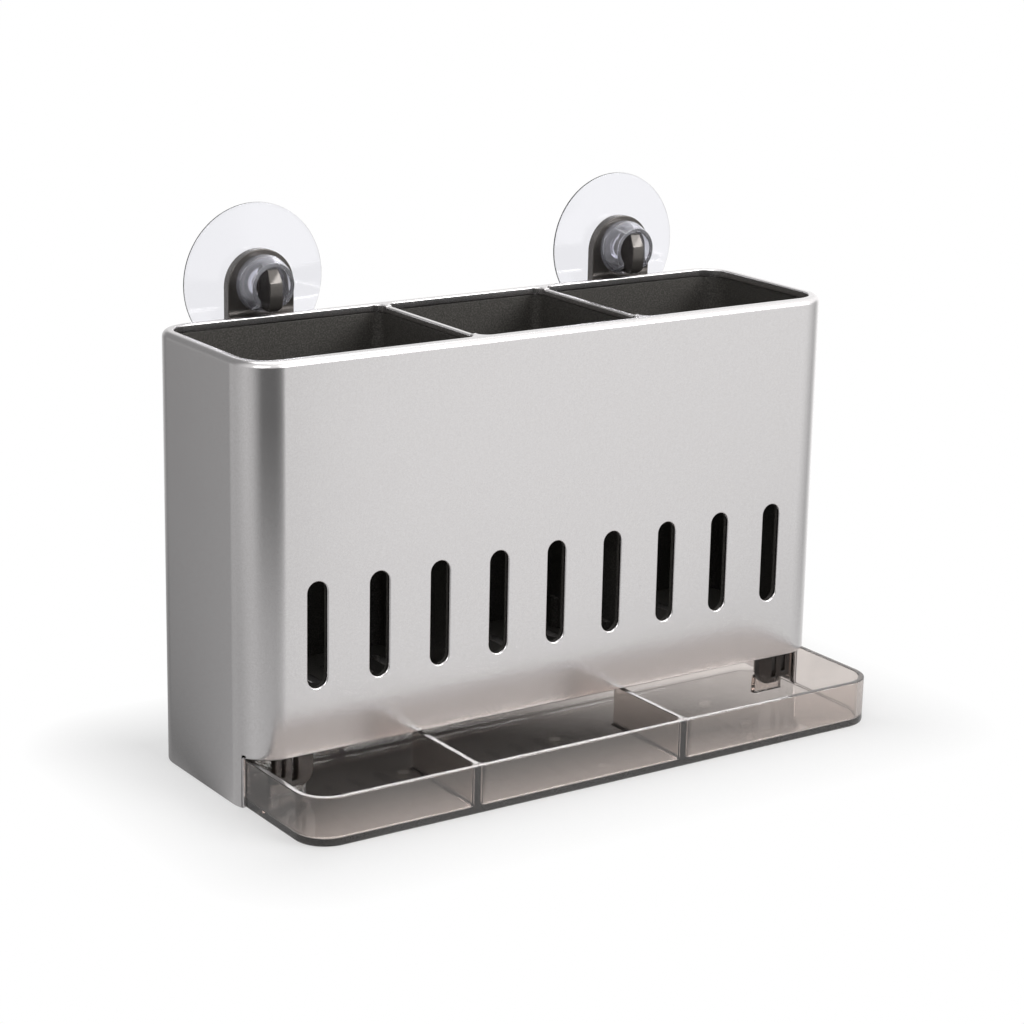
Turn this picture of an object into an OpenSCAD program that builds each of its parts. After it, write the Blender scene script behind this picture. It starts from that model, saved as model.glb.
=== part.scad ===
// Suction wall shelf: a three-compartment utensil caddy with a slide-out drip tray,
// held to a wall by two lockable suction cups. Millimetres, +Z up, +X to the right
// seen from the front, +Y towards the wall. The front panel lies at y = 0 in the
// sub-part modules, and placed() moves everything so that the origin is under the
// middle of the whole object, on the surface it stands on.

/* [Body] */
// Width of the body
body_w = 250; // [232:1:300]
// Depth of the body from front panel to back wall
body_d = 73.4; // [66:0.2:92]
// Height of the body
body_h = 158; // [120:1:200]
// Outer radius of the upright corners
corner_r = 14; // [11:0.5:18]
// Wall of the outer shell
shell_t = 1.6; // [1.2:0.1:2.2]
// Height of the solid rim at the top of the shell
rim_h = 3; // [2.6:0.2:5]
// Radius of the rounded outer edge of the rim
rim_round = 2.4; // [1:0.1:2.6]
// How far the rim reaches inward past the liner
rim_lip = 0.7; // [0.2:0.1:1.2]

/* [Liner and floor] */
// Wall of the liner
liner_t = 1.8; // [1.4:0.1:2.4]
// Thickness of the two compartment dividers
divider_t = 1.8; // [1.4:0.1:3]
// Place of the left divider from the middle of the body
divider_left_x = -32; // [-42:0.5:-30]
// Place of the right divider from the middle of the body
divider_right_x = 38; // [33:0.5:42]
// Radius in plan where a divider meets the walls
divider_fillet = 4; // [2:0.5:6]
// Height of the underside of the drain floor above the counter
floor_z = 24; // [22.6:0.2:30]
// Thickness of the drain floor
floor_t = 3; // [2.4:0.2:5]
// Width of the drain slots in the floor
drain_w = 4; // [2:0.5:5]
// Length of the drain slots in the floor
drain_l = 16; // [8:1:18]
// Spacing of the drain slots across the body
drain_pitch = 11; // [9:0.5:16]

/* [Front slots] */
// Number of air slots in the front panel
slot_count = 9; // [5:2:9]
// Spacing of the air slots
slot_pitch = 24.75; // [20:0.25:24.75]
// Width of an air slot
slot_w = 7.7; // [4:0.1:8.4]
// Height of the lower end of the slots
slot_low = 42; // [36:0.5:60]
// Height of the upper end of the slots
slot_high = 80.2; // [70:0.2:110]
// Chamfer round each slot
slot_chamfer = 0.4; // [0.2:0.1:0.8]

/* [Tray bay] */
// Height of the opening under the front panel
bay_h = 18.4; // [18.4:0.1:20]
// How far behind the front panel the side skirts start
skirt_set = 8.6; // [8.4:0.1:12]

/* [Drip tray] */
// How far the tray stands out of the body
tray_pull = 38.1; // [24:0.1:44]
// Height of the tray
tray_h = 17.6; // [14:0.1:17.6]
// Wall of the tray
tray_wall = 2.2; // [1.6:0.1:3]
// Floor of the tray
tray_floor_t = 2.2; // [2:0.1:4]
// Place of the left tray divider
tray_left_x = -56.3; // [-70:0.1:-50]
// Place of the right tray divider
tray_right_x = 32.6; // [26:0.1:50]
// Corner radius in plan of the tray's pockets at the dividers
pocket_r = 2.5; // [1:0.1:4]
// How far behind the front panel the tray's dividers end
tray_divider_end = 6.3; // [4:0.1:8]
// Height of the tray's underside above the counter
tray_lift = 0.2; // [0.1:0.05:0.4]

/* [Rails and stops] */
// Thickness of the rail's plates
rail_t = 1.2; // [1:0.1:1.2]
// Width of a rail's top plate
rail_w = 17.3; // [15:0.1:19]
// Width of the ledge that carries the tray
ledge_w = 4.7; // [4:0.1:5.5]
// Thickness of the tray's hanger rib
hanger_t = 2.2; // [1.6:0.1:3]
// Length of the tray's hanger
hanger_l = 13; // [10:0.5:13]
// Width of a tray stop
stop_w = 15.2; // [13:0.2:16]
// Thickness of a tray stop
stop_t = 3; // [2:0.1:3.2]
// Height of the stop's low side above the counter
stop_low = 6.5; // [5:0.1:9]
// Distance of a stop's inner side from the side of the body
stop_x = 26; // [25:0.5:31]
// Height of the tray's lug behind a stop
lug_h = 7; // [5.5:0.1:8]

/* [Suction cups] */
// Distance of a cup from the middle of the body
cup_x = 79.4; // [60:0.2:90]
// Height of the cup's centre above the rim of the body
cup_rise = 11; // [10.6:0.1:18]
// Outer diameter of the cup
cup_d = 56; // [44:0.5:64]
// Thickness of the cup's sealing edge
cup_edge_t = 0.8; // [0.6:0.1:1.2]
// Diameter of the neck through the tab
neck_d = 10; // [8:0.2:11]
// Diameter of the pivot that carries the lock
pivot_d = 3.2; // [2.6:0.1:3.4]

/* [Hanger tabs] */
// Width of a hanger tab
tab_w = 26.6; // [24:0.2:32]
// Thickness of a hanger tab
tab_t = 3.7; // [3:0.1:5]
// Length of the tab from its arch centre to its foot
tab_drop = 67; // [56:1:90]
// Gap between tab and back wall, filled by the screw pads
pad_h = 1.2; // [0.8:0.1:3]

/* [Locks] */
// Outer diameter of the clear collar at its front
collar_d = 16.8; // [16.4:0.1:19]
// Outer diameter of the clear collar at its base
collar_base_d = 20.8; // [19:0.1:21]
// Wall of the clear collar
collar_t = 1.6; // [1:0.1:1.8]
// Length of the clear collar
collar_l = 8.9; // [7:0.1:11]
// Width of the gap at the bottom of the collar
collar_gap = 10; // [7:0.2:11]
// Width of the lever's fin
lever_w = 5.2; // [4.8:0.1:6]
// Reach of the lever below its axis
lever_down = 9.3; // [8.5:0.1:9.6]
// Height of the lever above its axis
lever_up = 6.6; // [5.5:0.1:6.8]
// Width of the lever's fin at its top
lever_top_w = 4.2; // [1.6:0.1:4.4]

/* [Hidden] */
$fn = 64;

// Clearances
fit_gap = 0.1;      // between fixed pieces that sit in each other
run_gap = 0.4;      // round the sliding tray
pivot_gap = 0.05;   // round the lock's pivot
cut = 1;            // how far a cutting shape runs past a face

// Body
rim_w = shell_t + fit_gap + liner_t + rim_lip;
bar_lip = 0.3;
bar_w = divider_t + 2*bar_lip;
bar_drop = 0.5;
liner_top = body_h - rim_h - fit_gap;
floor_top = floor_z + floor_t;
inner_back = body_d - shell_t;
liner_slot_ease = 0.6;
dividers = [divider_left_x, divider_right_x];
nib_w = 10;
nib_d = 0.8;
nib_h = 2.2;
nib_x = [-60, 0, 60];

// Screws: thread radius, head radius, head height
small_screw = [1.25, 2.5, 1.6];
tab_screw = [1.45, 3.1, 1.7];
screw_gap = 0.05;
screw_end = 0.2;    // below a screw's tip in its hole
pilot_skin = 0.4;   // left above a blind hole in the drain floor
boss_skin = 1;      // left above the hole in a boss
boss_r = 3;
boss_h = 12;
boss_inset = 20;

// Tray
tray_half = body_w/2 - shell_t - run_gap;
tray_r = corner_r - shell_t - run_gap;
tray_depth = inner_back - run_gap;
tray_front = -tray_pull;
tray_top = tray_lift + tray_h;
stop_back = 6;
stop_clear = 0.3;
lug_front = stop_back + stop_clear;
lug_side = 1;       // how much narrower than its stop a lug is on each side
lug_round = 1.5;
tray_dividers = [tray_left_x, tray_right_x];

// Rails: the ledge carries the hanger flange, and the top plate holds it down
rail_out = body_w/2 - shell_t - fit_gap;
rail_front = corner_r;
rail_back = body_d - corner_r;
ledge_z = bay_h;
ledge_top = ledge_z + rail_t;
plate_z = floor_z - rail_t;
flange_gap = 0.3;
hanger_gap = 0.5;
flange_z = ledge_top + flange_gap;
flange_top = plate_z - flange_gap;
hanger_out = rail_out - ledge_w - hanger_gap;
flange_out = rail_out - rail_t - run_gap;
rail_screw_edge = 4;
rail_screw_x = rail_out - rail_w + rail_screw_edge;
rail_screw_inset = 9;

// Stops
stop_inner = body_w/2 - stop_x;
stop_front = stop_back - stop_t;
stop_foot_l = 8;
stop_foot_w = 6.5;
stop_foot_t = 1.6;
stop_round = 5;
stop_step = 1.8;
stop_block = 6.4;
stop_leg = 1.7;
window_floor = 2.2;
// distance from the stop's side, width and height of the lower edge
stop_windows = [[stop_block, 2, window_floor], [11.1, 1.7, window_floor + stop_step]];

// Tabs and cups
tab_front = body_d + pad_h;
tab_back = tab_front + tab_t;
cup_z = body_h + cup_rise;
tab_eye_rise = 1.3;
tab_arch_z = cup_z - tab_eye_rise;
tab_foot = tab_arch_z - tab_drop;
tab_corner = 3;
tab_screw_low = 12;
tab_screw_span = 33;
tab_screw_z = [tab_foot + tab_screw_low, tab_foot + tab_screw_low + tab_screw_span];
tab_recess = [3.4, 0.6, 1];   // cross recess: length, width, depth
pad_r = 6;
cup_gap = 0.2;      // between the dish and its tab
cup_front = tab_back + cup_gap;
cup_depth = 2.5;
wall_y = cup_front + cup_depth;
cup_r = cup_d/2;
seal_w = 1.4;
seat_w = 4;
cup_skin = 1.2;
neck_gap = 0.1;

// Locks
lock_gap = 0.3;     // between lock and tab
lock_back = tab_front - lock_gap;
collar_front = lock_back - collar_l;
collar_base_t = 1.3;
flange_l = 3.1;     // straight part of the collar at its base
hub_r = 4;
hub_l = 2.6;
fin_back = lock_back - 1.4;
fin_front = collar_front - 2;
pivot_l = 5;
bead_l = 1;
bead_r = 0.25;
bore_gap = 0.1;     // in front of the pivot's end

// Middle of the whole object from the tray's front to the wall
mid_y = (wall_y + tray_front)/2;

// Moves the model from the front panel's frame to its own origin
module placed() {
    translate([0, -mid_y, 0]) children();
}

// Copies its children to the other side of the middle plane when side is -1
module on_side(side) {
    mirror([side < 0 ? 1 : 0, 0, 0]) children();
}

// Plan of a rounded rectangle, centred on x, from y0 to y1
module plan(w, y0, y1, r) {
    translate([-w/2 + r, y0]) square([w - 2*r, y1 - y0]);
    translate([-w/2, y0 + r]) square([w, y1 - y0 - 2*r]);
    for (x = [-w/2 + r, w/2 - r], y = [y0 + r, y1 - r])
        translate([x, y]) circle(r);
}

// Plan of a rounded rectangle between two x values
module plan_between(x0, x1, y0, y1, r) {
    translate([(x0 + x1)/2, 0]) plan(x1 - x0, y0, y1, r);
}

// Plan of the body moved inward by a distance
module body_plan(inset) {
    plan(body_w - 2*inset, inset, body_d - inset, corner_r - inset);
}

// Plan of compartment i, inset from the shell's outside by edge and cleared by half
// a divider on the sides that face one
module compartment_plan(i, edge, half_divider) {
    x0 = i == 0 ? -body_w/2 + edge : dividers[i - 1] + half_divider;
    x1 = i == 2 ? body_w/2 - edge : dividers[i] - half_divider;
    intersection() {
        body_plan(edge);
        plan_between(x0, x1, edge, body_d - edge, divider_fillet);
    }
}

// Cylinder along +y from y0 to y1
module rod_y(r, y0, y1) {
    translate([0, y0, 0]) rotate([-90, 0, 0]) cylinder(r = r, h = y1 - y0);
}

// Upright slot through the front, from y0 to y1, grown by ease all round
module slot_cut(ease, y0, y1) {
    r = slot_w/2;
    for (z = [slot_low + r, slot_high - r]) translate([0, 0, z]) rod_y(r + ease, y0, y1);
    translate([-r - ease, y0, slot_low + r])
        cube([slot_w + 2*ease, y1 - y0, slot_high - slot_low - slot_w]);
}

// Chamfer at the mouth of a slot in the front panel
module slot_mouth() {
    r = slot_w/2;
    c = slot_chamfer;
    for (z = [slot_low + r, slot_high - r])
        translate([0, -c, z]) rotate([-90, 0, 0]) cylinder(r1 = r + 2*c, r2 = r, h = 2*c);
    translate([0, 0, slot_low + r])
        linear_extrude(slot_high - slot_low - slot_w)
            polygon([[-r - 2*c, -c], [r + 2*c, -c], [r, c], [-r, c]]);
}

module at_slots() {
    for (i = [0 : slot_count - 1])
        translate([(i - (slot_count - 1)/2)*slot_pitch, 0, 0]) children();
}

// Cutter that rounds the outer top edge of the body: a square bar less its quarter round
module rim_round_profile() {
    difference() {
        translate([-rim_round, -rim_round]) square(rim_round + cut);
        translate([-rim_round, -rim_round]) circle(rim_round);
    }
}

module rim_cutter() {
    for (x = [-1, 1], y = [0, 1])
        translate([x*(body_w/2 - corner_r), y == 0 ? corner_r : body_d - corner_r, body_h])
            rotate([0, 0, y == 0 ? (x < 0 ? 180 : 270) : (x < 0 ? 90 : 0)])
                rotate_extrude(angle = 90) translate([corner_r, 0]) rim_round_profile();
    for (x = [-1, 1])
        on_side(x) translate([body_w/2, corner_r, body_h])
            rotate([90, 0, 180]) mirror([1, 0, 0]) linear_extrude(body_d - 2*corner_r)
                rim_round_profile();
    for (y = [0, 1])
        translate([0, y*body_d, body_h]) mirror([0, 1 - y, 0])
            rotate([90, 0, 90]) linear_extrude(body_w - 2*corner_r, center = true)
                rim_round_profile();
}

// Catch on the inside of the shell that the drain floor snaps over
module nib() {
    rotate([90, 0, 90])
        linear_extrude(nib_w, center = true)
            polygon([[0, 0], [nib_d, -fit_gap], [nib_d, -nib_h/2], [0, -nib_h]]);
}

module outer_shell() {
    color("silver") difference() {
        union() {
            difference() {
                linear_extrude(body_h) body_plan(0);
                translate([0, 0, -cut]) linear_extrude(body_h - rim_h + cut) body_plan(shell_t);
                for (i = [0 : 2])
                    translate([0, 0, body_h - rim_h - cut])
                        linear_extrude(rim_h + 2*cut) compartment_plan(i, rim_w, bar_w/2);
                for (x = dividers)
                    translate([x - bar_w, rim_w + divider_fillet, body_h - bar_drop])
                        cube([2*bar_w, body_d - 2*(rim_w + divider_fillet), cut]);
                rim_cutter();
                // room for the tray between the skirts
                translate([0, 0, -cut])
                    linear_extrude(bay_h + cut)
                        plan(body_w - 2*shell_t, -corner_r, inner_back, corner_r - shell_t);
                // opening under the front panel
                translate([-body_w/2 - cut, -cut, -cut])
                    cube([body_w + 2*cut, skirt_set + cut, bay_h + cut]);
            }
            for (x = nib_x) {
                translate([x, shell_t - fit_gap/2, floor_z]) nib();
                translate([x, inner_back + fit_gap/2, floor_z]) mirror([0, 1, 0]) nib();
            }
            for (x = [-cup_x, cup_x], z = tab_screw_z)
                translate([x, 0, z]) rod_y(pad_r, body_d - shell_t/2, tab_front);
        }
        at_slots() {
            slot_cut(0, -cut, shell_t + cut/2);
            slot_mouth();
        }
        for (x = [-cup_x, cup_x], z = tab_screw_z)
            translate([x, 0, z]) rod_y(tab_screw[0] + screw_gap, inner_back - cut/2, tab_front + cut);
    }
}

module at_bosses() {
    for (x = dividers, y = [boss_inset, body_d - boss_inset]) translate([x, y, 0]) children();
}

module inner_liner() {
    color("dimgray") difference() {
        union() {
            translate([0, 0, floor_top])
                linear_extrude(liner_top - floor_top)
                    difference() {
                        body_plan(shell_t + fit_gap);
                        for (i = [0 : 2]) compartment_plan(i, rim_w - rim_lip, divider_t/2);
                    }
            at_bosses() translate([0, 0, floor_top]) cylinder(r = boss_r, h = boss_h);
        }
        at_slots() slot_cut(liner_slot_ease, shell_t, shell_t + fit_gap + liner_t + cut/2);
        at_bosses()
            translate([0, 0, floor_top - cut])
                cylinder(r = small_screw[0] + screw_gap, h = boss_h - boss_skin + cut);
    }
}

// One drain slot with round ends, from y = 0 backwards
module drain_slot() {
    for (y = [drain_w/2, drain_l - drain_w/2])
        translate([0, y, 0]) cylinder(r = drain_w/2, h = floor_t + 2*cut);
    translate([-drain_w/2, drain_w/2, 0])
        cube([drain_w, drain_l - drain_w, floor_t + 2*cut]);
}

// Two rows of drain slots under one compartment, clear of the bosses at its sides
module drain_slots(x0, x1) {
    count = floor((x1 - x0 - 2*boss_r - drain_w)/drain_pitch) + 1;
    first = (x0 + x1)/2 - (count - 1)/2*drain_pitch;
    row_gap = (body_d - 2*rim_w - 2*drain_l)/3;
    for (i = [0 : count - 1], row = [0, 1])
        translate([first + i*drain_pitch, rim_w + row_gap + row*(drain_l + row_gap), 0])
            drain_slot();
}

module at_rail_screws() {
    for (x = [-1, 1], y = [rail_front + rail_screw_inset, rail_back - rail_screw_inset])
        translate([x*rail_screw_x, y, 0]) children();
}

module at_stop_screws() {
    for (x = [-1, 1])
        translate([x*(stop_inner + stop_foot_w/2), stop_back + stop_foot_l/2, 0]) children();
}

// Blind hole for a screw from below into the drain floor
module floor_pilot() {
    translate([0, 0, floor_z - cut])
        cylinder(r = small_screw[0] + screw_gap, h = floor_t - pilot_skin + cut);
}

module drain_floor() {
    // slots lie between the rails, whose plates close the floor from below
    edges = [rail_w - rail_out, divider_left_x, divider_right_x, rail_out - rail_w];
    color("gray") difference() {
        translate([0, 0, floor_z]) linear_extrude(floor_t) body_plan(shell_t + fit_gap);
        for (i = [0 : 2])
            translate([0, 0, floor_z - cut]) drain_slots(edges[i], edges[i + 1]);
        at_bosses()
            translate([0, 0, floor_z - cut]) {
                cylinder(r = small_screw[0] + screw_gap, h = floor_t + 2*cut);
                cylinder(r = small_screw[1] + fit_gap, h = small_screw[2] + cut);
            }
        at_rail_screws() floor_pilot();
        at_stop_screws() floor_pilot();
    }
}

// Pan-head screw that points up, its head's seat at z = 0
module small_screw_up(length) {
    r = small_screw[1];
    difference() {
        union() {
            cylinder(r = small_screw[0], h = length);
            translate([0, 0, -small_screw[2]]) cylinder(r1 = r - 0.5, r2 = r, h = 0.5);
            translate([0, 0, -small_screw[2] + 0.5]) cylinder(r = r, h = small_screw[2] - 0.5);
        }
        // cross recess
        for (a = [0, 90])
            rotate([0, 0, a]) translate([-1.5, -0.25, -small_screw[2] - cut]) cube([3, 0.5, cut + 0.8]);
    }
}

module floor_screws() {
    color("lightgray") at_bosses()
        translate([0, 0, floor_z + small_screw[2]])
            small_screw_up(floor_t - small_screw[2] + boss_h - boss_skin - screw_end);
}

module rail_screws() {
    color("lightgray") at_rail_screws()
        translate([0, 0, plate_z]) small_screw_up(rail_t + floor_t - pilot_skin - screw_end);
}

module stop_screws() {
    color("lightgray") at_stop_screws()
        translate([0, 0, floor_z - stop_foot_t])
            small_screw_up(stop_foot_t + floor_t - pilot_skin - screw_end);
}

// Right-hand rail: a C with its mouth towards the middle
module rail() {
    difference() {
        translate([0, rail_back, 0]) rotate([90, 0, 0])
            linear_extrude(rail_back - rail_front)
                union() {
                    translate([rail_out - rail_w, plate_z]) square([rail_w, rail_t]);
                    translate([rail_out - rail_t, ledge_z]) square([rail_t, floor_z - ledge_z]);
                    translate([rail_out - ledge_w, ledge_z]) square([ledge_w, rail_t]);
                }
        at_rail_screws()
            translate([0, 0, plate_z - cut])
                cylinder(r = small_screw[0] + fit_gap, h = rail_t + 2*cut);
    }
}

module rail_right() {
    color("darkgray") rail();
}

module rail_left() {
    color("darkgray") on_side(-1) rail();
}

// Face of a tray stop seen from the front: a block with one rounded corner and two legs
// beside it, joined at the foot below two windows
module stop_face() {
    high = floor_z - stop_low;
    difference() {
        union() {
            translate([stop_round, stop_round]) circle(stop_round);
            translate([stop_round, 0]) square([stop_windows[1][0] - stop_leg - stop_round, high]);
            translate([0, stop_round]) square([stop_block, high - stop_round]);
            translate([stop_block, stop_step]) square([stop_w - stop_block, high - stop_step]);
        }
        for (w = stop_windows)
            translate([w[0], w[2]]) square([w[1], bay_h - stop_low - window_floor]);
    }
}

// Right-hand tray stop, hung from the drain floor
module tray_stop() {
    difference() {
        union() {
            translate([stop_inner, stop_back, stop_low])
                rotate([90, 0, 0]) linear_extrude(stop_t) stop_face();
            translate([stop_inner, stop_front, floor_z - stop_foot_t])
                cube([stop_foot_w, stop_t + stop_foot_l, stop_foot_t]);
        }
        at_stop_screws()
            translate([0, 0, floor_z - stop_foot_t - cut])
                cylinder(r = small_screw[0] + fit_gap, h = stop_foot_t + 2*cut);
    }
}

module tray_stop_right() {
    color("dimgray") tray_stop();
}

module tray_stop_left() {
    color("dimgray") on_side(-1) tray_stop();
}

// Right-hand hanger tab, screwed to the back of the shell
module hanger_tab() {
    difference() {
        translate([cup_x, 0, 0]) {
            translate([0, tab_back, 0]) rotate([90, 0, 0])
                linear_extrude(tab_t)
                    union() {
                        translate([0, tab_arch_z]) circle(tab_w/2);
                        translate([-tab_w/2, tab_foot + tab_corner])
                            square([tab_w, tab_drop - tab_corner]);
                        translate([-tab_w/2 + tab_corner, tab_foot])
                            square([tab_w - 2*tab_corner, 2*tab_corner]);
                        for (x = [-1, 1])
                            translate([x*(tab_w/2 - tab_corner), tab_foot + tab_corner])
                                circle(tab_corner);
                    }
        }
        translate([cup_x, 0, cup_z]) rod_y(neck_d/2 + neck_gap, tab_front - cut, tab_back + cut);
        for (z = tab_screw_z) translate([cup_x, 0, z]) {
            rod_y(tab_screw[0] + fit_gap, tab_front - cut, tab_back + cut);
            translate([0, tab_back - tab_screw[2] - fit_gap, 0]) rotate([-90, 0, 0])
                cylinder(r1 = tab_screw[0] + fit_gap, r2 = tab_screw[1] + fit_gap,
                         h = tab_screw[2] + fit_gap);
        }
    }
}

module hanger_tab_right() {
    color("gray") hanger_tab();
}

module hanger_tab_left() {
    color("gray") on_side(-1) hanger_tab();
}

// Countersunk screws from behind through the tabs into the pads
module tab_screws() {
    head = tab_screw[2];
    color("lightgray")
        for (x = [-cup_x, cup_x], z = tab_screw_z)
            translate([x, 0, z]) difference() {
                union() {
                    rod_y(tab_screw[0], inner_back + screw_end, tab_back - head);
                    translate([0, tab_back - head, 0]) rotate([-90, 0, 0])
                        cylinder(r1 = tab_screw[0], r2 = tab_screw[1], h = head - fit_gap);
                }
                for (a = [0, 90])
                    rotate([0, a, 0])
                        translate([-tab_recess[0]/2, tab_back - tab_recess[2], -tab_recess[1]/2])
                            cube([tab_recess[0], tab_recess[2] + cut, tab_recess[1]]);
            }
}

// Section of the cup from its axis outwards: x is the radius, y the distance from the
// wall. A shallow dish with a flat sealing edge and a flat seat against the tab.
module cup_section() {
    seat_r = neck_d/2 + seat_w;
    depth = cup_depth;
    difference() {
        union() {
            polygon([[0, depth], [seat_r, depth], [cup_r, cup_edge_t], [cup_r, 0], [0, 0]]);
            square([neck_d/2, depth + cup_gap + tab_t]);
        }
        polygon([[0, depth - cup_skin], [seat_r, depth - cup_skin], [cup_r - seal_w, 0],
                 [cup_r - seal_w, -cut], [0, -cut]]);
    }
}

// Clear soft cup on the right: the dish, its neck through the tab and the lock's pivot
module suction_cup() {
    translate([cup_x, wall_y, cup_z]) rotate([90, 0, 0]) {
        rotate_extrude() cup_section();
        translate([0, 0, cup_depth + tab_t]) cylinder(d = pivot_d, h = pivot_l + cup_gap);
        translate([0, 0, cup_depth + cup_gap + tab_t + pivot_l - bead_l])
            cylinder(r = pivot_d/2 + bead_r, h = bead_l);
    }
}

module suction_cup_right() {
    color([0.93, 0.93, 0.95, 0.5]) suction_cup();
}

module suction_cup_left() {
    color([0.93, 0.93, 0.95, 0.5]) on_side(-1) suction_cup();
}

// Section of the collar from its axis outwards: x is the radius, y the distance from
// the tab. A short straight base, then a cone that narrows to the front.
module collar_section() {
    front_r = collar_d/2;
    base_r = collar_base_d/2;
    difference() {
        polygon([[0, 0], [base_r, 0], [base_r, flange_l], [front_r, collar_l], [0, collar_l]]);
        polygon([[0, collar_base_t], [base_r - collar_t, collar_base_t],
                 [base_r - collar_t, flange_l], [front_r - collar_t, collar_l],
                 [front_r - collar_t, collar_l + cut], [0, collar_l + cut]]);
        translate([0, -cut]) square([hub_r + fit_gap, collar_base_t + 2*cut]);
    }
}

// Clear collar round the lever, open at the bottom
module lock_collar(x) {
    translate([x, 0, cup_z]) difference() {
        translate([0, lock_back, 0]) rotate([90, 0, 0]) rotate_extrude() collar_section();
        translate([-collar_gap/2, collar_front - cut, -collar_base_d])
            cube([collar_gap, collar_l - collar_base_t + cut, collar_base_d]);
    }
}

module lock_collar_right() {
    color([0.9, 0.9, 0.93, 0.5]) lock_collar(cup_x);
}

module lock_collar_left() {
    color([0.9, 0.9, 0.93, 0.5]) lock_collar(-cup_x);
}

// Side profile of the lever's fin: x is y of the model, y is height above the axis
module lever_profile() {
    depth = fin_back - fin_front;
    translate([fin_front, 0])
        polygon([[depth, -0.7*lever_down], [depth, 0.7*lever_up], [0.84*depth, lever_up],
                 [0.42*depth, lever_up], [0.27*depth, 0.92*lever_up], [0, 0.22*lever_up],
                 [0, -0.66*lever_down], [0.07*depth, -0.84*lever_down],
                 [0.25*depth, -lever_down], [0.68*depth, -lever_down]]);
}

// The fin seen from the front: narrow at the top, with its lower corners cut off
module lever_front() {
    half = lever_w/2;
    top = lever_top_w/2;
    polygon([[-half, -0.82*lever_down], [-half, 0.3*lever_up], [-top, lever_up],
             [top, lever_up], [half, 0.3*lever_up], [half, -0.82*lever_down],
             [0.6*half, -lever_down], [-0.6*half, -lever_down]]);
}

// Grey lever: a faceted fin on a small hub that turns on the cup's pivot
module lock_lever(x) {
    bore_front = tab_front - pivot_l - pivot_gap - bore_gap;
    translate([x, 0, cup_z]) difference() {
        union() {
            intersection() {
                rotate([90, 0, 90]) linear_extrude(lever_w, center = true) lever_profile();
                translate([0, fin_back, 0])
                    rotate([90, 0, 0]) linear_extrude(fin_back - fin_front) lever_front();
            }
            rod_y(hub_r, lock_back - hub_l, lock_back);
        }
        rod_y(pivot_d/2 + pivot_gap, bore_front, lock_back + cut);
        rod_y(pivot_d/2 + bead_r + pivot_gap, bore_front, tab_front - pivot_l + bead_l + pivot_gap);
    }
}

module lock_lever_right() {
    color("dimgray") lock_lever(cup_x);
}

module lock_lever_left() {
    color("dimgray") lock_lever(-cup_x);
}

// Plan of a pocket of the tray, run on past the ends of the dividers
module pocket_plan(i) {
    x0 = i == 0 ? -tray_half + tray_wall : tray_dividers[i - 1] + tray_wall/2;
    x1 = i == 2 ? tray_half - tray_wall : tray_dividers[i] - tray_wall/2;
    intersection() {
        tray_plan(tray_wall);
        plan_between(x0, x1, tray_front + tray_wall, tray_divider_end + 2*pocket_r, pocket_r);
    }
}

// Plan of the tray's inside: three pockets in front that open into one space behind,
// round the half-round ends of the dividers
module tray_inside() {
    end_y = tray_divider_end - tray_wall/2;
    difference() {
        union() {
            for (i = [0 : 2]) pocket_plan(i);
            intersection() {
                tray_plan(tray_wall);
                translate([-tray_half, end_y]) square([2*tray_half, tray_depth]);
            }
        }
        for (x = tray_dividers) translate([x, end_y]) circle(tray_wall/2);
    }
}

// Plan of the tray moved inward by a distance
module tray_plan(inset) {
    plan(2*(tray_half - inset), tray_front + inset, tray_front + tray_depth - inset, tray_r - inset);
}

// Rib on the right inside the rear of the tray, with a flange that runs in the rail
module tray_hanger() {
    translate([0, rail_front + hanger_l, 0]) rotate([90, 0, 0])
        linear_extrude(hanger_l)
            union() {
                translate([hanger_out - hanger_t, tray_lift + tray_floor_t/2])
                    square([hanger_t, flange_top - tray_lift - tray_floor_t/2]);
                translate([hanger_out - hanger_t, flange_z])
                    square([flange_out - hanger_out + hanger_t, flange_top - flange_z]);
            }
}

// Lug on the tray's floor behind the right-hand stop, which ends the tray's way out
module tray_lug() {
    w = stop_w - 2*lug_side;
    foot = tray_floor_t/2;
    translate([stop_inner + lug_side, lug_front + tray_wall, tray_lift + foot])
        rotate([90, 0, 0]) linear_extrude(tray_wall) {
            square([w, foot + lug_h - lug_round]);
            translate([lug_round, 0]) square([w - 2*lug_round, foot + lug_h]);
            for (x = [lug_round, w - lug_round])
                translate([x, foot + lug_h - lug_round]) circle(lug_round);
        }
}

// Smoky tray: three pockets in front of one open space under the drain floor
module drip_tray() {
    color([0.42, 0.38, 0.36, 0.7]) union() {
        difference() {
            translate([0, 0, tray_lift]) linear_extrude(tray_h) tray_plan(0);
            translate([0, 0, tray_lift + tray_floor_t]) linear_extrude(tray_h) tray_inside();
        }
        for (side = [-1, 1]) on_side(side) {
            tray_hanger();
            tray_lug();
        }
    }
}

placed() outer_shell();
placed() inner_liner();
placed() drain_floor();
placed() floor_screws();
placed() rail_left();
placed() rail_right();
placed() rail_screws();
placed() tray_stop_left();
placed() tray_stop_right();
placed() stop_screws();
placed() hanger_tab_left();
placed() hanger_tab_right();
placed() tab_screws();
placed() suction_cup_left();
placed() suction_cup_right();
placed() lock_collar_left();
placed() lock_collar_right();
placed() lock_lever_left();
placed() lock_lever_right();
placed() drip_tray();
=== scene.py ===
# Looks of the suction wall shelf: a silver utensil caddy with a dark divided liner, a smoky
# drip tray that slides out under its front, and two clear suction cups with turning locks.
# Pieces are modelled in millimetres on a bench where the front panel lies at y = 0, and
# are put into the frame in metres when they are finished.
import math
import bmesh
import bpy
from mathutils import Matrix, Vector


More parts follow.
